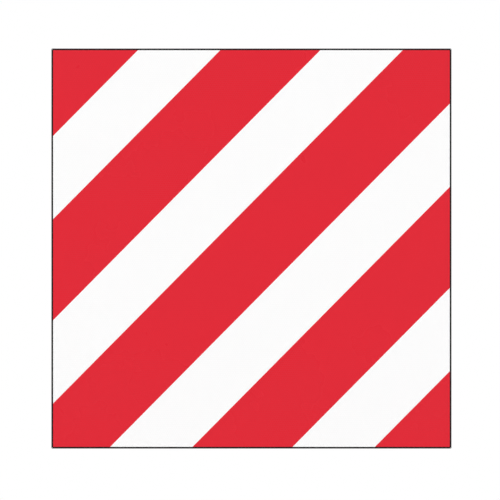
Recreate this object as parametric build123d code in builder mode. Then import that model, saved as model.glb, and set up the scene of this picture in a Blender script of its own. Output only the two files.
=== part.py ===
from build123d import *
import os
from math import cos, floor, hypot, radians, sin, sqrt

# Hatched marker panel: a folded sheet-steel pan faced with striped reflective film, two slotted
# rails riveted across its back, and two clamps that slide in the rails and grip a round post.
#
# All sizes are in millimetres. The origin is on the post's axis, at mid height of the panel.
# +X is to the right of a viewer who faces the stripes, +Y points away from that viewer, +Z is up.

# Pan
panel_size = 600.0  # outside width and height
sheet = 1.0  # thickness of the folded sheet
fold_radius = 0.6  # inside radius of every fold
pan_depth = 25.0  # front of the sheet to the back of the lips
lip_width = 20.0  # return lip, measured from the outside of the flange
corner_slit = 0.5  # gap between neighbouring flanges at each corner

# Film
sheeting_thickness = 0.4  # white reflective film with its adhesive
stripe_thickness = 0.1  # clear red film laid over the white
film_margin = 1.2  # edge of the film to the start of the fold
red_width = 106.6
white_width = 87.7
hatch_angle = 45.3  # stripe direction above the horizontal, in degrees
hatch_shift = 5.3  # centre of the middle red stripe, from the panel's centre to the lower right

# Rails
rail_spacing = 300.0
rail_inset = 3.0  # end of the rail to the side of the pan
rail_floor = 2.0
rail_wall = 2.0
rail_lip = 2.5
rail_edge_radius = 0.8
rail_root_radius = 1.5
head_clearance = 0.25  # bolt head to each side of the channel
head_room = 0.7  # bolt head to the floor of the channel
slot_clearance = 0.5  # bolt to each side of the slot

# Rivets
rivet_diameter = 4.8
rivet_clearance = 0.05  # radial, rivet in its hole
rivet_head_diameter = 9.5
rivet_head_height = 1.5
rivet_tail = 3.5  # shank left beyond the pan's lip
rivet_room = 0.75  # rivet head to each edge of the flat that it sits on

# Clamp bolts, washers and nuts
bolt_diameter = 8.0
bolt_hole_clearance = 0.5  # radial, bolt in the saddle and the strap
bolt_stickout = 12.4  # thread left beyond the nut
head_across_flats = 13.0
head_height = 5.3
washer_diameter = 16.0
washer_thickness = 1.6
washer_clearance = 0.2  # radial, bolt in the washer
nut_across_flats = 13.0
nut_height = 6.5
nut_clearance = 0.05  # radial, bolt in the nut

# Post clamps
post_diameter = 60.0
clamp_height = 36.0
ear_margin = 3.0  # washer to the end of an ear
saddle_crown = 7.0  # metal between the post and the rail
saddle_wall = 4.0
saddle_foot = 4.0
saddle_root_radius = 2.0
cradle_half_angle = 65.0  # from the middle of the cradle to the tip of a horn, in degrees
chamber_radius = 1.0
web_room = 1.5  # bolt hole to the foot of the web
strap_thickness = 3.0
strap_bend = 2.0  # inside radius where an ear leaves the ring
strap_offset = 2.0  # front of an ear behind the post's axis
strap_corner = 5.0  # cut from each corner of an ear
washer_room = 1.2  # washer to the bend of the strap

# Sizes that follow
fold_outside = fold_radius + sheet
face_size = panel_size - 2 * fold_outside  # flat part of the front
film_size = face_size - 2 * film_margin
channel_width = head_across_flats + 2 * head_clearance
channel_depth = head_height + head_room
slot_width = bolt_diameter + 2 * slot_clearance
rail_foot = rail_root_radius + rivet_head_diameter + 2 * rivet_room  # flange beside the channel
rail_width = channel_width + 2 * (rail_wall + rail_foot)
rail_height = rail_floor + channel_depth + rail_lip
rail_length = panel_size - 2 * rail_inset
rivet_hole_radius = rivet_diameter / 2 + rivet_clearance
rivet_x = panel_size / 2 - (lip_width + fold_outside) / 2
rivet_z = rail_width / 2 - rivet_room - rivet_head_diameter / 2
bolt_hole_radius = bolt_diameter / 2 + bolt_hole_clearance
post_radius = post_diameter / 2

# Places along Y, from the post's axis to the front and then to the back
saddle_seat = -(post_radius + saddle_crown)  # back of the rails
head_seat = saddle_seat - rail_lip
rail_seat = saddle_seat - rail_height  # back of the pan's lips
pan_front = rail_seat - pan_depth
sheeting_front = pan_front - sheeting_thickness
washer_seat = strap_offset + strap_thickness
nut_seat = washer_seat + washer_thickness
nut_back = nut_seat + nut_height
bolt_tip = nut_back + bolt_stickout

# The strap's middle line: a ring round the post, and a bend of the other hand into each flat ear
ring_radius = post_radius + strap_thickness / 2
bend_radius = strap_bend + strap_thickness / 2
ear_line = strap_offset + strap_thickness / 2
bend_y = ear_line + bend_radius
bend_x = sqrt((ring_radius + bend_radius) ** 2 - bend_y**2)
bolt_x = bend_x + washer_room + washer_diameter / 2
ear_end = bolt_x + washer_diameter / 2 + ear_margin

rail_levels = {"upper": rail_spacing / 2, "lower": -rail_spacing / 2}


def facing_front(y):
    return Plane(origin=(0, y, 0), x_dir=(1, 0, 0), z_dir=(0, -1, 0))


def rivet_places(rail_z):
    return [(x, rail_z + z) for x in (-rivet_x, rivet_x) for z in (-rivet_z, rivet_z)]


def bolt_places(rail_z):
    return [(-bolt_x, rail_z), (bolt_x, rail_z)]


# Pan: a square face with a flange and a return lip folded along each side
def make_pan():
    arc_z = -(panel_size / 2 - fold_outside)
    flange_z = -(panel_size / 2 - sheet / 2)
    lip_y = rail_seat - sheet / 2
    fold_middle = fold_radius + sheet / 2

    with BuildPart() as side:
        with BuildSketch(Plane.YZ):
            with BuildLine():
                CenterArc((pan_front + fold_outside, arc_z), fold_middle, 180, 90)
                Line((pan_front + fold_outside, flange_z), (rail_seat - fold_outside, flange_z))
                CenterArc((rail_seat - fold_outside, arc_z), fold_middle, 270, 90)
                Line((lip_y, arc_z), (lip_y, -(panel_size / 2 - lip_width)))
            trace(line_width=sheet)
        extrude(amount=panel_size / 2, both=True)
        for hand in (-1, 1):
            mitre = Plane(origin=(0, 0, -corner_slit / sqrt(2)), z_dir=(hand, 0, 1))
            split(bisect_by=mitre, keep=Keep.BOTTOM)

    with BuildPart() as pan:
        with BuildSketch(facing_front(pan_front + sheet)):
            Rectangle(face_size, face_size)
        extrude(amount=sheet)
        for quarter in range(4):
            add(side.part.rotate(Axis.Y, 90 * quarter))
        with BuildSketch(facing_front(rail_seat)):
            for rail_z in rail_levels.values():
                with Locations(*rivet_places(rail_z)):
                    Circle(rivet_hole_radius)
        extrude(amount=sheet, mode=Mode.SUBTRACT)

    pan.part.label = "folded_pan"
    export_step(pan.part, "parts/folded_pan.step")


# White film over the flat face
def make_sheeting():
    with BuildPart() as sheeting:
        with BuildSketch(facing_front(pan_front)):
            Rectangle(film_size, film_size)
        extrude(amount=sheeting_thickness)

    sheeting.part.label = "white_sheeting"
    export_step(sheeting.part, "parts/white_sheeting.step")


# Red stripes, counted from the upper left corner to the lower right one
def make_stripes():
    pitch = red_width + white_width
    across_x = sin(radians(hatch_angle))
    across_z = -cos(radians(hatch_angle))
    reach = film_size / 2 * (across_x - across_z)
    first = -floor((reach + hatch_shift + red_width / 2) / pitch)
    last = floor((reach - hatch_shift + red_width / 2) / pitch)

    for number, step in enumerate(range(first, last + 1), start=1):
        distance = hatch_shift + step * pitch
        with BuildPart() as stripe:
            with BuildSketch(facing_front(sheeting_front)):
                with Locations((distance * across_x, distance * across_z)):
                    Rectangle(2 * film_size, red_width, rotation=hatch_angle)
                Rectangle(film_size, film_size, mode=Mode.INTERSECT)
            extrude(amount=stripe_thickness)

        stripe.part.label = f"red_stripe_{number}"
        export_step(stripe.part, f"parts/red_stripe_{number}.step")


# Rail: a C-shaped channel that holds the bolt heads, on two flat feet
def make_rail(level, rail_z):
    middle = (Align.MIN, Align.CENTER)
    section = Plane(origin=(0, rail_seat, rail_z), x_dir=(0, 1, 0), z_dir=(1, 0, 0))

    with BuildPart() as rail:
        with BuildSketch(section) as profile:
            Rectangle(rail_floor, rail_width, align=middle)
            Rectangle(rail_height, channel_width + 2 * rail_wall, align=middle)
            roots = profile.vertices().group_by(Axis.X)[1].sort_by(Axis.Y)[1:-1]
            fillet(roots, rail_root_radius)
            with Locations((rail_floor, 0)):
                Rectangle(channel_depth, channel_width, align=middle, mode=Mode.SUBTRACT)
                Rectangle(rail_height, slot_width, align=middle, mode=Mode.SUBTRACT)
            back_corners = profile.vertices().group_by(Axis.X)[-1].sort_by(Axis.Y)
            fillet([back_corners[0], back_corners[-1]], rail_edge_radius)
        extrude(amount=rail_length / 2, both=True)
        with BuildSketch(facing_front(rail_seat)):
            with Locations(*rivet_places(rail_z)):
                Circle(rivet_hole_radius)
        extrude(amount=-rail_floor, mode=Mode.SUBTRACT)

    rail.part.label = f"{level}_rail"
    export_step(rail.part, f"parts/{level}_rail.step")


# Blind rivets: a domed head on the rail's foot, and a shank through the pan's lip
def make_rivets(level, rail_z):
    head_top = rail_floor + rivet_head_height
    shank_end = -(sheet + rivet_tail)

    with BuildPart() as rivet:
        with BuildSketch(Plane.XY):
            with BuildLine():
                dome = TangentArc((0, head_top), (rivet_head_diameter / 2, rail_floor), tangent=(1, 0))
                shank = Line((rivet_diameter / 2, rail_floor), (rivet_diameter / 2, shank_end))
                Line(dome @ 1, shank @ 0)
                Polyline(shank @ 1, (0, shank_end), dome @ 0)
            make_face()
        revolve(axis=Axis.Y)

    with BuildPart() as rivets:
        with Locations(*[(x, rail_seat, z) for x, z in rivet_places(rail_z)]):
            add(rivet.part)

    rivets.part.label = f"{level}_rail_rivets"
    export_step(rivets.part, f"parts/{level}_rail_rivets.step")


# Saddle: a cut length of extrusion that stands on the rail and cradles the post
def make_saddle(level, rail_z):
    foot_back = saddle_seat + saddle_foot
    half_angle = radians(cradle_half_angle)
    horn_x = (post_radius + saddle_wall) * sin(half_angle)
    horn_y = -(post_radius + saddle_wall) * cos(half_angle)
    web_x = bolt_x - bolt_hole_radius - web_room
    web_height = horn_y - foot_back
    web_width = saddle_wall * hypot(web_x - horn_x, web_height) / web_height

    with BuildPart() as saddle:
        with BuildSketch(Plane.XY.offset(rail_z - clamp_height / 2)) as profile:
            with BuildLine():
                cradle = CenterArc((0, 0), post_radius, 270, cradle_half_angle)
                web = Line((horn_x, horn_y), (web_x, foot_back))
                Line(cradle @ 1, web @ 0)
                foot = Polyline(web @ 1, (ear_end, foot_back), (ear_end, saddle_seat), (0, saddle_seat))
                Line(foot @ 1, cradle @ 0)
            make_face()
            with BuildSketch(mode=Mode.PRIVATE) as chamber:
                chamber_foot = (web_x - web_width, foot_back)
                Polygon((0, foot_back), chamber_foot, (horn_x - web_width, horn_y), align=None)
                Circle(post_radius + saddle_wall, mode=Mode.SUBTRACT)
                fillet(chamber.vertices(), chamber_radius)
            add(chamber.sketch, mode=Mode.SUBTRACT)
            fillet(profile.vertices().sort_by_distance(web @ 1)[0], saddle_root_radius)
            mirror(about=Plane.YZ)
        extrude(amount=clamp_height)
        with BuildSketch(facing_front(saddle_seat)):
            with Locations(*bolt_places(rail_z)):
                Circle(bolt_hole_radius)
        extrude(amount=-saddle_foot, mode=Mode.SUBTRACT)

    saddle.part.label = f"{level}_saddle"
    export_step(saddle.part, f"parts/{level}_saddle.step")


# Strap: a steel band bent round the back of the post, with an ear on each side
def make_strap(level, rail_z):
    ring_share = ring_radius / (ring_radius + bend_radius)
    ring_start = (bend_x * ring_share, bend_y * ring_share)
    ring_end = (-ring_start[0], ring_start[1])

    with BuildPart() as strap:
        with BuildSketch(Plane.XY.offset(rail_z - clamp_height / 2)):
            with BuildLine():
                right_ear = Line((ear_end, ear_line), (bend_x, ear_line))
                right_bend = TangentArc(right_ear @ 1, ring_start, tangent=right_ear % 1)
                ring = ThreePointArc(right_bend @ 1, (0, ring_radius), ring_end)
                left_bend = TangentArc(ring @ 1, (-bend_x, ear_line), tangent=ring % 1)
                Line(left_bend @ 1, (-ear_end, ear_line))
            trace(line_width=strap_thickness)
        extrude(amount=clamp_height)
        end_corners = strap.edges().filter_by(Axis.Y).group_by(Axis.X)
        chamfer(end_corners[0] + end_corners[-1], strap_corner)
        with BuildSketch(facing_front(strap_offset)):
            with Locations(*bolt_places(rail_z)):
                Circle(bolt_hole_radius)
        extrude(amount=-strap_thickness, mode=Mode.SUBTRACT)

    strap.part.label = f"{level}_strap"
    export_step(strap.part, f"parts/{level}_strap.step")


# Bolts: the heads lie in the rail's channel, and the shanks pass the saddle and the strap
def make_bolts(level, rail_z):
    with BuildPart() as bolts:
        with BuildSketch(facing_front(head_seat)):
            with Locations(*bolt_places(rail_z)):
                RegularPolygon(head_across_flats / 2, 6, major_radius=False)
        extrude(amount=head_height)
        with BuildSketch(facing_front(head_seat)):
            with Locations(*bolt_places(rail_z)):
                Circle(bolt_diameter / 2)
        extrude(amount=head_seat - bolt_tip)

    bolts.part.label = f"{level}_clamp_bolts"
    export_step(bolts.part, f"parts/{level}_clamp_bolts.step")


# Washers: flat rings on the back of the strap's ears
def make_washers(level, rail_z):
    with BuildPart() as washers:
        with BuildSketch(facing_front(nut_seat)):
            with Locations(*bolt_places(rail_z)):
                Circle(washer_diameter / 2)
                Circle(bolt_diameter / 2 + washer_clearance, mode=Mode.SUBTRACT)
        extrude(amount=washer_thickness)

    washers.part.label = f"{level}_strap_washers"
    export_step(washers.part, f"parts/{level}_strap_washers.step")


# Nuts: plain hexagon nuts that draw the strap to the saddle
def make_nuts(level, rail_z):
    with BuildPart() as nuts:
        with BuildSketch(facing_front(nut_back)):
            with Locations(*bolt_places(rail_z)):
                RegularPolygon(nut_across_flats / 2, 6, major_radius=False)
                Circle(bolt_diameter / 2 + nut_clearance, mode=Mode.SUBTRACT)
        extrude(amount=nut_height)

    nuts.part.label = f"{level}_strap_nuts"
    export_step(nuts.part, f"parts/{level}_strap_nuts.step")


os.makedirs("parts", exist_ok=True)
make_pan()
make_sheeting()
make_stripes()
for level, rail_z in rail_levels.items():
    make_rail(level, rail_z)
    make_rivets(level, rail_z)
    make_saddle(level, rail_z)
    make_bolts(level, rail_z)
    make_strap(level, rail_z)
    make_washers(level, rail_z)
    make_nuts(level, rail_z)
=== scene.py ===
from math import atan2, ceil, cos, hypot, pi, radians, sin, sqrt, tan

import bmesh
import bpy
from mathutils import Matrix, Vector


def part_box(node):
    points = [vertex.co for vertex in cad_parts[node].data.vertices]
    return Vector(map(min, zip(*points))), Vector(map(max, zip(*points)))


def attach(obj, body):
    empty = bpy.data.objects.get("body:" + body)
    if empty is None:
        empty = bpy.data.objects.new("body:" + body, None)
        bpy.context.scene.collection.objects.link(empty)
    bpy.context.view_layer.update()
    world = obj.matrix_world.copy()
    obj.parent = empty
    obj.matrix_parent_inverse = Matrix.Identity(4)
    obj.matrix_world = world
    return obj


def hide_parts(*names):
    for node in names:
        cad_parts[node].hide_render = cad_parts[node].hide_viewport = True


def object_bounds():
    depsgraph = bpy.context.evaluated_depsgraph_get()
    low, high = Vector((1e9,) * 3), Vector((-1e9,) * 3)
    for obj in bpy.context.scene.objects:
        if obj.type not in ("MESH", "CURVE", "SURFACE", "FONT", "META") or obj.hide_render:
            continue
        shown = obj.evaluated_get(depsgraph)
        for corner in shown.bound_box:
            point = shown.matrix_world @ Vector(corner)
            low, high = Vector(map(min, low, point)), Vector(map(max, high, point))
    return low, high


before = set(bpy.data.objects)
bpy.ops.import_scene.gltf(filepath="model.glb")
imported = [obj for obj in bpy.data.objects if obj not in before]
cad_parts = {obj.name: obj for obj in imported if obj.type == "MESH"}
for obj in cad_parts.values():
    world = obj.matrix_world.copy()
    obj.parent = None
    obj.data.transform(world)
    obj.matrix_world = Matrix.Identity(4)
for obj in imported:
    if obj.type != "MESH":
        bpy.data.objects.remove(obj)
cadLow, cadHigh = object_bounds()
levels = ("upper", "lower")


# Shader tools

def addNode(tree, kind, settings=None, inputs=None):
    node = tree.nodes.new(kind)
    for name, value in (settings or {}).items():
        setattr(node, name, value)
    for name, value in (inputs or {}).items():
        if isinstance(value, bpy.types.NodeSocket):
            tree.links.new(value, node.inputs[name])
        else:
            node.inputs[name].default_value = value
    return node


def calculate(tree, operation, first, second=0.0):
    return addNode(tree, "ShaderNodeMath", {"operation": operation}, {0: first, 1: second}).outputs[0]


def vectorStep(tree, operation, *values):
    inputs = dict(enumerate(values))
    return addNode(tree, "ShaderNodeVectorMath", {"operation": operation}, inputs)


def splitAxes(tree, vector):
    return addNode(tree, "ShaderNodeSeparateXYZ", None, {0: vector}).outputs


def joinAxes(tree, **parts):
    return addNode(tree, "ShaderNodeCombineXYZ", None, parts).outputs[0]


def spread(tree, value, low, high, start=0.0, end=1.0, kind="LINEAR"):
    inputs = {"Value": value, "From Min": start, "From Max": end, "To Min": low, "To Max": high}
    return addNode(tree, "ShaderNodeMapRange", {"interpolation_type": kind}, inputs).outputs["Result"]


def mixValues(tree, share, first, second):
    return addNode(tree, "ShaderNodeMix", None, {0: share, 2: first, 3: second}).outputs[0]


def mixColours(tree, share, first, second):
    mix = addNode(tree, "ShaderNodeMix", {"data_type": "RGBA"}, {0: share, 6: first, 7: second})
    return mix.outputs[2]


def objectPlace(tree, stretch=(1.0, 1.0, 1.0)):
    place = addNode(tree, "ShaderNodeTexCoord").outputs["Object"]
    return addNode(tree, "ShaderNodeMapping", None, {"Vector": place, "Scale": stretch}).outputs[0]


def noise(tree, place, scale, detail=2.0, roughness=0.5):
    inputs = {"Vector": place, "Scale": scale, "Detail": detail, "Roughness": roughness}
    return addNode(tree, "ShaderNodeTexNoise", None, inputs).outputs["Fac"]


noiseReach = (0.3, 0.7)  # nearly all of a noise lies between these


def fullNoise(tree, place, scale, **settings):
    return spread(tree, noise(tree, place, scale, **settings), 0.0, 1.0, *noiseReach)


def startGroup(name, inputs, outputs):
    group = bpy.data.node_groups.new(name, "ShaderNodeTree")
    for label, value in inputs.items():
        socket = group.interface.new_socket(label, in_out="INPUT", socket_type="NodeSocketFloat")
        socket.default_value = value
    for label in outputs:
        group.interface.new_socket(label, in_out="OUTPUT", socket_type="NodeSocketFloat")
    return group, addNode(group, "NodeGroupInput").outputs, addNode(group, "NodeGroupOutput").inputs


def placeGroup(tree, group, values=None):
    return addNode(tree, "ShaderNodeGroup", {"node_tree": group}, values).outputs


def startMaterial(name, settings):
    material = bpy.data.materials.new(name)
    material.use_nodes = True
    shader = material.node_tree.nodes["Principled BSDF"]
    for socket, value in settings.items():
        shader.inputs[socket].default_value = value
    return material, material.node_tree, shader.inputs


def addBump(tree, shader, height, look):
    inputs = {"Height": height, "Strength": look["bump"], "Distance": look["bumpDepth"]}
    tree.links.new(addNode(tree, "ShaderNodeBump", None, inputs).outputs[0], shader["Normal"])


# Six-sided cells of the reflective sheeting, the same under the white and the red

def makeHoneycomb():
    group, given, made = startGroup("honeycomb", {"Width": 0.0034, "Wall": 0.14}, ["Walls"])
    across = splitAxes(group, objectPlace(group))
    place = joinAxes(group, X=across["X"], Y=across["Z"])
    halfWidth = calculate(group, "MULTIPLY", given["Width"], 0.5)
    halfHeight = calculate(group, "MULTIPLY", halfWidth, sqrt(3))
    half = joinAxes(group, X=halfWidth, Y=halfHeight)
    below = vectorStep(group, "SUBTRACT", (0, 0, 0), half).outputs[0]
    between = vectorStep(group, "ADD", place, half).outputs[0]
    even = vectorStep(group, "WRAP", place, half, below).outputs[0]
    odd = vectorStep(group, "WRAP", between, half, below).outputs[0]
    evenLength = vectorStep(group, "LENGTH", even).outputs["Value"]
    oddLength = vectorStep(group, "LENGTH", odd).outputs["Value"]
    nearer = calculate(group, "LESS_THAN", evenLength, oddLength)
    nearest = addNode(group, "ShaderNodeMix", {"data_type": "VECTOR"}, {0: nearer, 4: odd, 5: even})
    size = vectorStep(group, "ABSOLUTE", nearest.outputs[1]).outputs[0]
    slanted = vectorStep(group, "DOT_PRODUCT", size, (0.5, sqrt(3) / 2, 0)).outputs["Value"]
    straight = splitAxes(group, size)["X"]
    reach = calculate(group, "DIVIDE", calculate(group, "MAXIMUM", straight, slanted), halfWidth)
    inner = calculate(group, "SUBTRACT", 1.0, given["Wall"])
    group.links.new(spread(group, reach, 0.0, 1.0, inner, 1.0, "SMOOTHSTEP"), made["Walls"])
    return group


# Uneven sheen over a hand's breadth, and fine grain under it

def makeCoatGrain():
    group, given, made = startGroup("coatGrain", {"Cloud": 9.0, "Grain": 1100.0}, ["Clouds", "Grains"])
    place = objectPlace(group)
    clouds = fullNoise(group, place, given["Cloud"], detail=4.0, roughness=0.6)
    grains = noise(group, place, given["Grain"], detail=1.0)
    group.links.new(clouds, made["Clouds"])
    group.links.new(grains, made["Grains"])
    return group


# Die lines that run along an extrusion: the long way is the axis with the small stretch

def makeDieLines():
    sockets = {"Along X": 1.0, "Along Z": 1.0, "Fine": 1400.0, "Broad": 220.0}
    group, given, made = startGroup("dieLines", sockets, ["Lines", "Bands"])
    parts = splitAxes(group, objectPlace(group))
    longX = calculate(group, "MULTIPLY", parts["X"], given["Along X"])
    longZ = calculate(group, "MULTIPLY", parts["Z"], given["Along Z"])
    place = joinAxes(group, X=longX, Y=parts["Y"], Z=longZ)
    lines = fullNoise(group, place, given["Fine"], detail=2.0)
    bands = fullNoise(group, place, given["Broad"], detail=3.0, roughness=0.6)
    group.links.new(lines, made["Lines"])
    group.links.new(bands, made["Bands"])
    return group


# Rubbed edges: the bevel faces carry the edgeRub attribute, broken up by noise

def makeEdgeRub():
    group, given, made = startGroup("edgeRub", {"Patches": 60.0, "Start": 0.38, "Full": 0.6}, ["Mask"])
    edge = addNode(group, "ShaderNodeAttribute", {"attribute_name": "edgeRub"}).outputs["Fac"]
    patches = noise(group, objectPlace(group), given["Patches"], detail=3.0)
    broken = spread(group, patches, 0.0, 1.0, given["Start"], given["Full"], "SMOOTHSTEP")
    group.links.new(calculate(group, "MULTIPLY", edge, broken), made["Mask"])
    return group


# Arcs that a circular saw leaves on a cut end: the long way of the extrusion has no share in them

def makeSawMarks():
    sockets = {
        "Across X": 1.0, "Across Z": 1.0, "Reach": 0.25,
        "Scale": 340.0, "Wander": 4.0, "Detail": 3.0, "Detail Scale": 0.4,
    }
    group, given, made = startGroup("sawMarks", sockets, ["Marks"])
    parts = splitAxes(group, objectPlace(group))
    fromX, fromY, fromZ = [calculate(group, "ADD", parts[axis], given["Reach"]) for axis in "XYZ"]
    acrossX = calculate(group, "MULTIPLY", fromX, given["Across X"])
    acrossZ = calculate(group, "MULTIPLY", fromZ, given["Across Z"])
    settings = {"wave_type": "RINGS", "rings_direction": "SPHERICAL"}
    inputs = {
        "Vector": joinAxes(group, X=acrossX, Y=fromY, Z=acrossZ),
        "Scale": given["Scale"],
        "Distortion": given["Wander"],
        "Detail": given["Detail"],
        "Detail Scale": given["Detail Scale"],
    }
    wave = addNode(group, "ShaderNodeTexWave", settings, inputs)
    group.links.new(wave.outputs["Fac"], made["Marks"])
    return group


honeycomb = makeHoneycomb()
coatGrain = makeCoatGrain()
dieLines = makeDieLines()
edgeRub = makeEdgeRub()
sawMarks = makeSawMarks()
print("shader groups:", len(bpy.data.node_groups))


# Black powder coat on the pan

blackCoatLook = {
    "deep": (0.004, 0.004, 0.0044, 1.0),
    "pale": (0.01, 0.01, 0.0104, 1.0),
    "rubbed": (0.06, 0.06, 0.062, 1.0),
    "gloss": 0.14,
    "smooth": 0.38,
    "matt": 0.62,
    "bump": 0.3,
    "bumpDepth": 0.00012,
}


def makeBlackCoat(look):
    material, tree, shader = startMaterial("blackPowderCoat", {"Specular IOR Level": look["gloss"]})
    grain = placeGroup(tree, coatGrain)
    rub = placeGroup(tree, edgeRub)
    colour = mixColours(tree, grain["Clouds"], look["deep"], look["pale"])
    tree.links.new(mixColours(tree, rub["Mask"], colour, look["rubbed"]), shader["Base Color"])
    tree.links.new(spread(tree, grain["Clouds"], look["smooth"], look["matt"]), shader["Roughness"])
    addBump(tree, shader, grain["Grains"], look)
    return material


# Reflective films: the cells show through both colours

whiteFilmLook = {
    "cell": (0.978, 0.978, 0.978, 1.0),
    "wall": (0.91, 0.91, 0.91, 1.0),
    "gloss": 0.25,
    "smooth": 0.3,
    "matt": 0.45,
}
redFilmLook = {
    "cell": (0.748, 0.0132, 0.0283, 1.0),
    "wall": (0.64, 0.0166, 0.0322, 1.0),
    "gloss": 0.2,
    "smooth": 0.28,
    "matt": 0.4,
}
filmSurface = {"cloud": 5.0, "uneven": 0.03, "bump": 0.25, "bumpDepth": 0.00005}


def makeFilm(name, look):
    material, tree, shader = startMaterial(name, {"Specular IOR Level": look["gloss"]})
    cells = placeGroup(tree, honeycomb)
    grain = placeGroup(tree, coatGrain, {"Cloud": filmSurface["cloud"]})
    tree.links.new(mixColours(tree, cells["Walls"], look["cell"], look["wall"]), shader["Base Color"])
    roughness = spread(tree, cells["Walls"], look["smooth"], look["matt"])
    uneven = spread(tree, grain["Clouds"], -filmSurface["uneven"], filmSurface["uneven"])
    tree.links.new(calculate(tree, "ADD", roughness, uneven), shader["Roughness"])
    addBump(tree, shader, cells["Walls"], filmSurface)
    return material


# Extruded aluminium, drawn bright along its length and sawn at its ends

extrudedLook = {
    "dull": (0.38, 0.385, 0.395, 1.0),
    "bright": (0.56, 0.565, 0.57, 1.0),
    "rubbed": (0.72, 0.72, 0.72, 1.0),
    "sawnDull": (0.42, 0.42, 0.425, 1.0),
    "sawnBright": (0.53, 0.53, 0.535, 1.0),
    "smooth": 0.26,
    "matt": 0.42,
    "sawnSmooth": 0.42,
    "sawnMatt": 0.54,
    "stretch": 0.006,
    "endFacing": 0.9,  # a face turned this far to the long way is an end
    "bump": 0.2,
    "bumpDepth": 0.00004,
}


def makeExtruded(name, look, along):
    material, tree, shader = startMaterial(name, {"Metallic": 1.0})
    lines = placeGroup(tree, dieLines, {f"Along {along}": look["stretch"]})
    rub = placeGroup(tree, edgeRub)
    marks = placeGroup(tree, sawMarks, {f"Across {along}": 0.0})["Marks"]
    facing = splitAxes(tree, addNode(tree, "ShaderNodeTexCoord").outputs["Normal"])[along]
    sawn = calculate(tree, "GREATER_THAN", calculate(tree, "ABSOLUTE", facing), look["endFacing"])
    drawn = mixColours(tree, lines["Bands"], look["dull"], look["bright"])
    worn = mixColours(tree, rub["Mask"], drawn, look["rubbed"])
    cut = mixColours(tree, marks, look["sawnDull"], look["sawnBright"])
    tree.links.new(mixColours(tree, sawn, worn, cut), shader["Base Color"])
    drawnRoughness = spread(tree, lines["Lines"], look["smooth"], look["matt"])
    cutRoughness = spread(tree, marks, look["sawnMatt"], look["sawnSmooth"])
    tree.links.new(mixValues(tree, sawn, drawnRoughness, cutRoughness), shader["Roughness"])
    addBump(tree, shader, mixValues(tree, sawn, lines["Lines"], marks), look)
    return material


# Galvanised steel: crystals of zinc with ragged borders, under a fine frost

galvanisedLook = {
    "dull": (0.33, 0.34, 0.355, 1.0),
    "bright": (0.47, 0.48, 0.495, 1.0),
    "rubbed": (0.58, 0.585, 0.59, 1.0),
    "smooth": 0.28,
    "matt": 0.52,
    "spangle": 190.0,
    "ragged": 260.0,
    "raggedReach": 0.004,
    "frost": 700.0,
    "frostShare": 0.45,
    "cloud": 30.0,
    "cloudShare": 0.5,
    "grain": 1500.0,
    "bump": 0.12,
    "bumpDepth": 0.00006,
}


def makeGalvanised(look):
    material, tree, shader = startMaterial("galvanisedSteel", {"Metallic": 1.0})
    place = objectPlace(tree)
    bend = addNode(tree, "ShaderNodeTexNoise", None, {"Vector": place, "Scale": look["ragged"]})
    reach = (look["raggedReach"],) * 3
    bent = vectorStep(tree, "MULTIPLY_ADD", bend.outputs["Color"], reach, place).outputs[0]
    cells = addNode(tree, "ShaderNodeTexVoronoi", None, {"Vector": bent, "Scale": look["spangle"]})
    crystals = addNode(tree, "ShaderNodeSeparateColor", None, {0: cells.outputs["Color"]}).outputs[0]
    frost = noise(tree, place, look["frost"], detail=4.0, roughness=0.65)
    tone = mixValues(tree, look["frostShare"], crystals, frost)
    rub = placeGroup(tree, edgeRub)
    grain = placeGroup(tree, coatGrain, {"Cloud": look["cloud"], "Grain": look["grain"]})
    colour = mixColours(tree, tone, look["dull"], look["bright"])
    tree.links.new(mixColours(tree, rub["Mask"], colour, look["rubbed"]), shader["Base Color"])
    shine = mixValues(tree, look["cloudShare"], tone, grain["Clouds"])
    tree.links.new(spread(tree, shine, look["matt"], look["smooth"]), shader["Roughness"])
    addBump(tree, shader, grain["Grains"], look)
    return material


# Zinc plate on the bolts, washers and nuts, and the bare aluminium of the rivets

zincLook = {
    "cool": (0.44, 0.46, 0.49, 1.0),
    "warm": (0.55, 0.535, 0.47, 1.0),
    "smooth": 0.2,
    "matt": 0.34,
}
rivetLook = {
    "cool": (0.48, 0.485, 0.49, 1.0),
    "warm": (0.6, 0.6, 0.595, 1.0),
    "smooth": 0.3,
    "matt": 0.44,
}
fastenerSurface = {"cloud": 160.0, "grain": 2200.0, "bump": 0.08, "bumpDepth": 0.00004}


def makeFastenerMetal(name, look):
    material, tree, shader = startMaterial(name, {"Metallic": 1.0})
    scales = {"Cloud": fastenerSurface["cloud"], "Grain": fastenerSurface["grain"]}
    grain = placeGroup(tree, coatGrain, scales)
    tree.links.new(mixColours(tree, grain["Clouds"], look["cool"], look["warm"]), shader["Base Color"])
    tree.links.new(spread(tree, grain["Clouds"], look["smooth"], look["matt"]), shader["Roughness"])
    addBump(tree, shader, grain["Grains"], fastenerSurface)
    return material


blackCoat = makeBlackCoat(blackCoatLook)
whiteFilm = makeFilm("whiteSheeting", whiteFilmLook)
redFilm = makeFilm("redOverlay", redFilmLook)
railAluminium = makeExtruded("railAluminium", extrudedLook, "X")
saddleAluminium = makeExtruded("saddleAluminium", extrudedLook, "Z")
galvanised = makeGalvanised(galvanisedLook)
zincPlate = makeFastenerMetal("zincPlate", zincLook)
rivetMetal = makeFastenerMetal("rivetAluminium", rivetLook)
print("materials:", len(bpy.data.materials))


# The films keep the frame's own shape

filmNodes = {"white_sheeting": whiteFilm}
filmNodes.update({node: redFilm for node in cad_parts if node.startswith("red_stripe")})
for node, material in filmNodes.items():
    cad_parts[node].material_slots[0].material = material


# Piece tools

smoothAngle = radians(35)
turnedAngle = radians(25)  # keeps the rim of a turned hexagon crisp
mergeDistance = 1e-6


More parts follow.
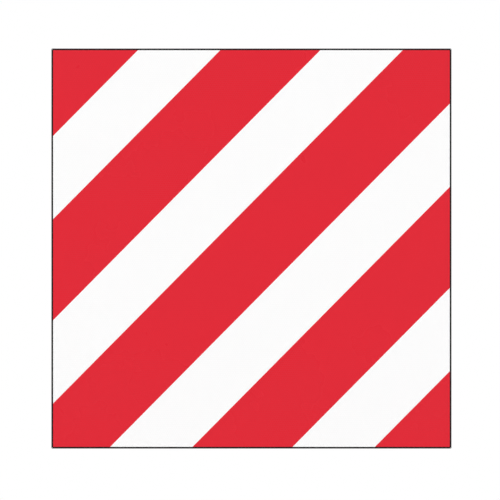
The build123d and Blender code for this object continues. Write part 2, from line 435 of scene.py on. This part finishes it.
def makePiece(bm, name, material, body, node, sharpest=smoothAngle):
    mesh = bpy.data.meshes.new(name)
    for face in bm.faces:
        face.smooth = True
    bm.to_mesh(mesh)
    bm.free()
    mesh.set_sharp_from_angle(angle=sharpest)
    mesh.materials.append(material)
    piece = bpy.data.objects.new(name, mesh)
    bpy.context.scene.collection.objects.link(piece)
    weighted = piece.modifiers.new("evenShading", "WEIGHTED_NORMAL")
    weighted.keep_sharp = True
    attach(piece, body)
    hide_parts(node)


def everything(bm):
    return bm.verts[:] + bm.edges[:] + bm.faces[:]


def repeatAt(bm, places):
    original = everything(bm)
    originalVerts = bm.verts[:]
    for place in places[1:]:
        copied = bmesh.ops.duplicate(bm, geom=original)["geom"]
        copiedVerts = [part for part in copied if isinstance(part, bmesh.types.BMVert)]
        bmesh.ops.translate(bm, vec=place, verts=copiedVerts)
    bmesh.ops.translate(bm, vec=places[0], verts=originalVerts)


# The left and the right fastener of a clamp, whose outer ends reach the sides of the node's box

def pairPlaces(low, high, reach):
    right = high.x - reach
    middle = (low.z + high.z) / 2
    return [(-right, 0, middle), (right, 0, middle)]


# Sheet and extruded pieces: the frame's own shape with its sharp edges broken

softEdges = {"flatAngle": radians(0.5), "sharpAngle": radians(30), "segments": 2}


def softenedCopy(node, width):
    bm = bmesh.new()
    bm.from_mesh(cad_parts[node].data)
    bmesh.ops.remove_doubles(bm, verts=bm.verts, dist=mergeDistance)
    bmesh.ops.dissolve_limit(bm, angle_limit=softEdges["flatAngle"], verts=bm.verts, edges=bm.edges)
    sharp = [e for e in bm.edges if e.is_manifold and e.calc_face_angle() > softEdges["sharpAngle"]]
    bevelled = bmesh.ops.bevel(
        bm, geom=sharp, offset=width, affect="EDGES", segments=softEdges["segments"],
        profile=0.5, material=-1, clamp_overlap=False,
    )
    rub = bm.loops.layers.float.new("edgeRub")
    for face in bevelled["faces"]:
        for loop in face.loops:
            loop[rub] = 1.0
    return bm


panEdge = {"width": 0.00015}
pan = softenedCopy("folded_pan", panEdge["width"])
makePiece(pan, "pan_shell", blackCoat, "panel", "folded_pan")

railEdge = {"width": 0.00035}
saddleEdge = {"width": 0.0004}
strapEdge = {"width": 0.0005}
for level in levels:
    rail = softenedCopy(f"{level}_rail", railEdge["width"])
    makePiece(rail, f"{level}_rail_profile", railAluminium, "panel", f"{level}_rail")
    saddle = softenedCopy(f"{level}_saddle", saddleEdge["width"])
    makePiece(
        saddle, f"{level}_saddle_block", saddleAluminium,
        f"{level}_clamp", f"{level}_saddle",
    )
    strap = softenedCopy(f"{level}_strap", strapEdge["width"])
    makePiece(
        strap, f"{level}_strap_band", galvanised,
        f"{level}_clamp_strap", f"{level}_strap",
    )
print("pan, rails, saddles and straps done")


# Turned and six-sided forms: a disc across the Y axis whose face is drawn on step by step,
# to the reach and height that each step gives for an angle round the axis

turning = {"steps": 36, "cornerSlope": radians(30), "flatShare": 0.95}
turnToY = Vector((0, 0, 1)).rotation_difference(Vector((0, 1, 0))).to_matrix()


def startDisc(reach, height):
    bm = bmesh.new()
    bmesh.ops.create_circle(bm, cap_ends=True, segments=turning["steps"], radius=reach)
    bmesh.ops.rotate(bm, cent=(0, 0, 0), matrix=turnToY, verts=bm.verts)
    bmesh.ops.translate(bm, vec=(0, height, 0), verts=bm.verts)
    bm.faces.ensure_lookup_table()
    return bm, bm.faces[0]


def drawOn(bm, face, place):
    made = bmesh.ops.extrude_face_region(bm, geom=[face] + face.edges[:])["geom"]
    face = next(part for part in made if isinstance(part, bmesh.types.BMFace))
    for vert in face.verts:
        angle = atan2(vert.co.z, vert.co.x)
        reach, height = place(angle)
        vert.co = (reach * cos(angle), height, reach * sin(angle))
    return face


def roundAt(reach, height):
    return lambda angle: (reach, height)


def hexagonAt(acrossFlats, height):
    return lambda angle: (acrossFlats / 2 / cos(angle % (pi / 3) - pi / 6), height)


# The round flat on the end of a turned hexagon

def turnedFlat(acrossFlats):
    return turning["flatShare"] * acrossFlats / 2


# Where the sides of a hexagon meet the cone that its corners are turned to

def turnedHexagonAt(acrossFlats, end, inward):
    def place(angle):
        reach, height = hexagonAt(acrossFlats, end)(angle)
        return reach, height + inward * (reach - turnedFlat(acrossFlats)) * tan(turning["cornerSlope"])

    return place


# Bolts: turned hexagon head, plain shank and a rolled thread

boltSizes = {
    "diameter": 0.008,
    "headHeight": 0.0053,
    "threadLength": 0.036,  # reaches past the front of the strap
    "runOut": 0.0012,  # where the shank passes into the thread
    "pitch": 0.00125,
    "threadDepth": 0.000767,
    "flankAngle": radians(30),
    "crestShare": 0.125,
    "tipChamfer": 0.0011,
    "steps": 32,
    "sliver": 2e-6,
}


def threadedEnd(start, tip):
    outer = boltSizes["diameter"] / 2
    inner = outer - boltSizes["threadDepth"]
    pitch = boltSizes["pitch"]
    flank = boltSizes["threadDepth"] * tan(boltSizes["flankAngle"])
    crestEnd = pitch - flank
    crestStart = crestEnd - pitch * boltSizes["crestShare"]
    rootEnd = crestStart - flank
    profile = [(inner, 0), (inner, rootEnd), (outer, crestStart), (outer, crestEnd), (inner, pitch)]
    turns = ceil((tip - start) / pitch) + 2
    bm = bmesh.new()
    points = [bm.verts.new((radius, start - pitch + along, 0)) for radius, along in profile]
    edges = [bm.edges.new(pair) for pair in zip(points, points[1:])]
    bmesh.ops.spin(
        bm, geom=points + edges, cent=(0, 0, 0), axis=(0, 1, 0), angle=2 * pi * turns,
        dvec=(0, pitch / boltSizes["steps"], 0), steps=boltSizes["steps"] * turns, use_merge=False,
    )
    bmesh.ops.remove_doubles(bm, verts=bm.verts, dist=mergeDistance)
    for height, facing in ((start, -1), (tip, 1)):
        bmesh.ops.bisect_plane(
            bm, geom=everything(bm), plane_co=(0, height, 0), plane_no=(0, facing, 0), clear_outer=True,
        )
    middle = (start + tip) / 2
    tipRim = [e for e in bm.edges if e.is_boundary and all(v.co.y > middle for v in e.verts)]
    bmesh.ops.holes_fill(bm, edges=tipRim, sides=0)
    for vert in bm.verts:
        limit = outer - max(0.0, vert.co.y - (tip - boltSizes["tipChamfer"]))
        reach = hypot(vert.co.x, vert.co.z)
        if reach > limit:
            vert.co.x *= limit / reach
            vert.co.z *= limit / reach
    bmesh.ops.dissolve_degenerate(bm, edges=bm.edges, dist=boltSizes["sliver"])
    return bm


def addMesh(bm, other):
    carrier = bpy.data.meshes.new("carrier")
    other.to_mesh(carrier)
    other.free()
    bm.from_mesh(carrier)
    bpy.data.meshes.remove(carrier)


def makeBolts(level):
    low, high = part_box(f"{level}_clamp_bolts")
    acrossFlats = high.z - low.z
    shank = boltSizes["diameter"] / 2
    seat = low.y + boltSizes["headHeight"]
    shankEnd = high.y - boltSizes["threadLength"]
    bm, face = startDisc(turnedFlat(acrossFlats), low.y)
    for place in (
        turnedHexagonAt(acrossFlats, low.y, 1),
        hexagonAt(acrossFlats, seat),
        roundAt(shank, seat),
        roundAt(shank, shankEnd),
    ):
        face = drawOn(bm, face, place)
    bmesh.ops.delete(bm, geom=[face], context="FACES_ONLY")
    addMesh(bm, threadedEnd(shankEnd + boltSizes["runOut"], high.y))
    bmesh.ops.bridge_loops(bm, edges=[e for e in bm.edges if e.is_boundary])
    bmesh.ops.recalc_face_normals(bm, faces=bm.faces)
    repeatAt(bm, pairPlaces(low, high, acrossFlats / sqrt(3)))
    makePiece(
        bm, f"{level}_bolts", zincPlate,
        f"{level}_clamp", f"{level}_clamp_bolts", turnedAngle,
    )


# Nuts: hexagons turned at both ends, with a countersunk bore

nutSizes = {"bore": 0.00405, "countersink": 0.0006}


def makeNuts(level):
    low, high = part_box(f"{level}_strap_nuts")
    acrossFlats = high.z - low.z
    flat = turnedFlat(acrossFlats)
    bm, front = startDisc(flat, low.y)
    back = front
    for place in (
        turnedHexagonAt(acrossFlats, low.y, 1),
        turnedHexagonAt(acrossFlats, high.y, -1),
        roundAt(flat, high.y),
    ):
        back = drawOn(bm, back, place)
    sink = nutSizes["countersink"]
    ends = []
    for face, height, inward in ((front, low.y, 1), (back, high.y, -1)):
        face = drawOn(bm, face, roundAt(nutSizes["bore"] + sink, height))
        ends.append(drawOn(bm, face, roundAt(nutSizes["bore"], height + inward * sink)))
    rims = [edge for face in ends for edge in face.edges]
    bmesh.ops.delete(bm, geom=ends, context="FACES_ONLY")
    bmesh.ops.bridge_loops(bm, edges=rims)
    bmesh.ops.recalc_face_normals(bm, faces=bm.faces)
    repeatAt(bm, pairPlaces(low, high, acrossFlats / sqrt(3)))
    makePiece(
        bm, f"{level}_nuts", zincPlate,
        f"{level}_clamp_strap", f"{level}_strap_nuts", turnedAngle,
    )


# Washers: a punched ring, round at both rims

washerSizes = {"bore": 0.0042, "steps": 48, "rim": 0.00025}


def makeWashers(level):
    low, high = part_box(f"{level}_strap_washers")
    bore = washerSizes["bore"]
    radius = (high.z - low.z) / 2
    corners = [(bore, low.y), (radius, low.y), (radius, high.y), (bore, high.y)]
    bm = bmesh.new()
    points = [bm.verts.new((reach, along, 0)) for reach, along in corners]
    edges = [bm.edges.new(pair) for pair in zip(points, points[1:] + points[:1])]
    bmesh.ops.spin(
        bm, geom=points + edges, cent=(0, 0, 0), axis=(0, 1, 0), angle=2 * pi,
        steps=washerSizes["steps"], use_merge=True,
    )
    bmesh.ops.recalc_face_normals(bm, faces=bm.faces)
    rims = [e for e in bm.edges if e.calc_face_angle() > softEdges["sharpAngle"]]
    bmesh.ops.bevel(
        bm, geom=rims, offset=washerSizes["rim"], affect="EDGES", segments=softEdges["segments"],
        profile=0.5, material=-1,
    )
    repeatAt(bm, pairPlaces(low, high, radius))
    makePiece(
        bm, f"{level}_washers", zincPlate,
        f"{level}_clamp_strap", f"{level}_strap_washers",
    )


# Rivets: a dome with the broken pin in its middle, and a swollen tail behind the lip

rivetSizes = {
    "headDiameter": 0.0095,
    "headHeight": 0.0015,
    "rimHeight": 0.0003,
    "recessRadius": 0.001456,
    "pinRadius": 0.0013,
    "pinDepth": 0.00035,
    "shankRadius": 0.0024,
    "grip": 0.003,
    "tailRadius": 0.0036,
    "tailRound": 0.0028,
    "tailTip": 0.00195,
    "steps": 32,
    "arcSteps": 7,
}


def rivetProfile(top, bottom):
    size = rivetSizes
    seat = top - size["headHeight"]
    grip = seat - size["grip"]
    pin = top - size["pinDepth"]
    headRadius = size["headDiameter"] / 2
    crown = size["headHeight"] - size["rimHeight"]
    points = [(0.0, pin), (size["pinRadius"], pin)]
    for step in range(size["arcSteps"] + 1):
        share = step / size["arcSteps"]
        reach = size["recessRadius"] + share * (headRadius - size["recessRadius"])
        points.append((reach, seat + size["rimHeight"] + crown * (1 - (reach / headRadius) ** 2)))
    points += [(headRadius, seat), (size["shankRadius"], seat), (size["shankRadius"], grip)]
    for step in range(1, size["arcSteps"] + 1):
        share = step / (size["arcSteps"] + 1)
        reach = size["shankRadius"] + (size["tailRadius"] - size["shankRadius"]) * sin(pi * share)
        points.append((reach, grip - size["tailRound"] * share))
    points += [(size["shankRadius"], grip - size["tailRound"]), (size["tailTip"], bottom), (0.0, bottom)]
    return points


def makeRivets(level):
    low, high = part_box(f"{level}_rail_rivets")
    bm = bmesh.new()
    points = [bm.verts.new((reach, along, 0)) for reach, along in rivetProfile(high.y, low.y)]
    edges = [bm.edges.new(pair) for pair in zip(points, points[1:])]
    bmesh.ops.spin(
        bm, geom=points + edges, cent=(0, 0, 0), axis=(0, 1, 0), angle=2 * pi,
        steps=rivetSizes["steps"], use_merge=True,
    )
    bmesh.ops.remove_doubles(bm, verts=bm.verts, dist=mergeDistance)
    bmesh.ops.recalc_face_normals(bm, faces=bm.faces)
    headRadius = rivetSizes["headDiameter"] / 2
    right = high.x - headRadius
    places = [(x, 0, z) for x in (-right, right) for z in (low.z + headRadius, high.z - headRadius)]
    repeatAt(bm, places)
    makePiece(bm, f"{level}_rivets", rivetMetal, "panel", f"{level}_rail_rivets")


for level in levels:
    makeBolts(level)
    makeNuts(level)
    makeWashers(level)
    makeRivets(level)
print("bolts, nuts, washers and rivets done")


# Stage: pale floor, white surroundings, soft lamps on all sides

floorLook = {
    "drop": 0.32,
    "size": 40.0,
    "colour": (0.8, 0.8, 0.8, 1.0),
    "lift": 0.2,  # added to what the lamps give
    "near": 0.9,  # from here the floor fades
    "far": 2.0,  # into plain white
}


def whiteForView(tree):
    path = addNode(tree, "ShaderNodeLightPath").outputs
    seen = calculate(tree, "MAXIMUM", path["Is Camera Ray"], path["Is Glossy Ray"])
    return calculate(tree, "MAXIMUM", seen, path["Is Transmission Ray"])


def makeFloorMaterial():
    material = bpy.data.materials.new("paleFloor")
    material.use_nodes = True
    tree = material.node_tree
    tree.nodes.remove(tree.nodes["Principled BSDF"])
    diffuse = addNode(tree, "ShaderNodeBsdfDiffuse", None, {"Color": floorLook["colour"]}).outputs[0]
    seen = whiteForView(tree)
    lift = calculate(tree, "MULTIPLY", seen, floorLook["lift"])
    glow = addNode(tree, "ShaderNodeEmission", None, {"Strength": lift}).outputs[0]
    lifted = addNode(tree, "ShaderNodeAddShader", None, {0: diffuse, 1: glow}).outputs[0]
    white = addNode(tree, "ShaderNodeEmission", None, {"Strength": 1.0}).outputs[0]
    reach = vectorStep(tree, "LENGTH", objectPlace(tree, (1.0, 1.0, 0.0))).outputs["Value"]
    fade = spread(tree, reach, 0.0, 1.0, floorLook["near"], floorLook["far"], "SMOOTHSTEP")
    share = calculate(tree, "MULTIPLY", seen, fade)
    shown = addNode(tree, "ShaderNodeMixShader", None, {0: share, 1: lifted, 2: white}).outputs[0]
    tree.links.new(shown, tree.nodes["Material Output"].inputs["Surface"])
    return material


def makeFloor():
    bm = bmesh.new()
    bmesh.ops.create_grid(bm, x_segments=1, y_segments=1, size=floorLook["size"] / 2)
    bmesh.ops.translate(bm, vec=(0, 0, cadLow.z - floorLook["drop"]), verts=bm.verts)
    mesh = bpy.data.meshes.new("floor")
    bm.to_mesh(mesh)
    bm.free()
    mesh.materials.append(makeFloorMaterial())
    floor = bpy.data.objects.new("floor", mesh)
    bpy.context.scene.collection.objects.link(floor)


worldLook = {"ambient": 0.53}


def makeWorld():
    world = bpy.data.worlds.new("studio")
    bpy.context.scene.world = world
    world.use_nodes = True
    tree = world.node_tree
    ambient = tree.nodes["Background"]
    ambient.inputs["Color"].default_value = (1, 1, 1, 1)
    ambient.inputs["Strength"].default_value = worldLook["ambient"]
    white = addNode(tree, "ShaderNodeBackground", None, {"Color": (1, 1, 1, 1), "Strength": 1.0})
    inputs = {0: whiteForView(tree), 1: ambient.outputs[0], 2: white.outputs[0]}
    shown = addNode(tree, "ShaderNodeMixShader", None, inputs).outputs[0]
    tree.links.new(shown, tree.nodes["World Output"].inputs["Surface"])


lamps = {
    "frontLeft": {"azimuth": -42, "distance": 6.0, "height": 1.0, "size": 5.0, "watts": 120},
    "frontRight": {"azimuth": 42, "distance": 6.0, "height": 1.0, "size": 5.0, "watts": 120},
    "backLeft": {"azimuth": -138, "distance": 6.0, "height": 2.2, "size": 5.0, "watts": 120},
    "backRight": {"azimuth": 138, "distance": 6.0, "height": 2.2, "size": 5.0, "watts": 60},
    "top": {"azimuth": 180, "distance": 0.5, "height": 3.0, "size": 1.2, "watts": 26},
}


def makeLamps():
    for name, place in lamps.items():
        lamp = bpy.data.lights.new(name, "AREA")
        lamp.shape = "DISK"
        lamp.size = place["size"]
        lamp.energy = place["watts"]
        angle = radians(place["azimuth"])
        spot = Vector((place["distance"] * sin(angle), -place["distance"] * cos(angle), place["height"]))
        holder = bpy.data.objects.new(name, lamp)
        holder.location = spot
        holder.rotation_mode = "QUATERNION"
        holder.rotation_quaternion = (-spot).to_track_quat("-Z", "Y")
        holder.visible_camera = False
        bpy.context.scene.collection.objects.link(holder)


# Camera: square on, with the panel's centre a little right of and above the middle of the picture

cameraSetup = {
    "lens": 150.0,
    "sensor": 36.0,
    "clipEnd": 100.0,
    "pictureWidth": 500,
    "panelWidth": 400.36,  # in pixels, as is the centre
    "panelCentre": (251.43, 248.53),
}


def makeCamera():
    low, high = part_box("folded_pan")
    pixel = (high.x - low.x) / cameraSetup["panelWidth"]
    acrossView = cameraSetup["pictureWidth"] * pixel
    distance = acrossView * cameraSetup["lens"] / cameraSetup["sensor"]
    right = (cameraSetup["panelCentre"][0] - cameraSetup["pictureWidth"] / 2) * pixel
    up = (cameraSetup["pictureWidth"] / 2 - cameraSetup["panelCentre"][1]) * pixel
    lens = bpy.data.cameras.new("camera")
    lens.lens = cameraSetup["lens"]
    lens.sensor_width = cameraSetup["sensor"]
    lens.clip_end = cameraSetup["clipEnd"]
    camera = bpy.data.objects.new("camera", lens)
    camera.location = ((low.x + high.x) / 2 - right, cadLow.y - distance, (low.z + high.z) / 2 - up)
    camera.rotation_euler = (radians(90), 0, 0)
    bpy.context.scene.collection.objects.link(camera)
    bpy.context.scene.camera = camera


makeFloor()
makeWorld()
makeLamps()
makeCamera()
bpy.context.scene.view_settings.view_transform = "Standard"
bpy.context.scene.render.bake.margin_type = "EXTEND"  # baked maps get no dark lines at their seams
print("stage, lamps and camera done")
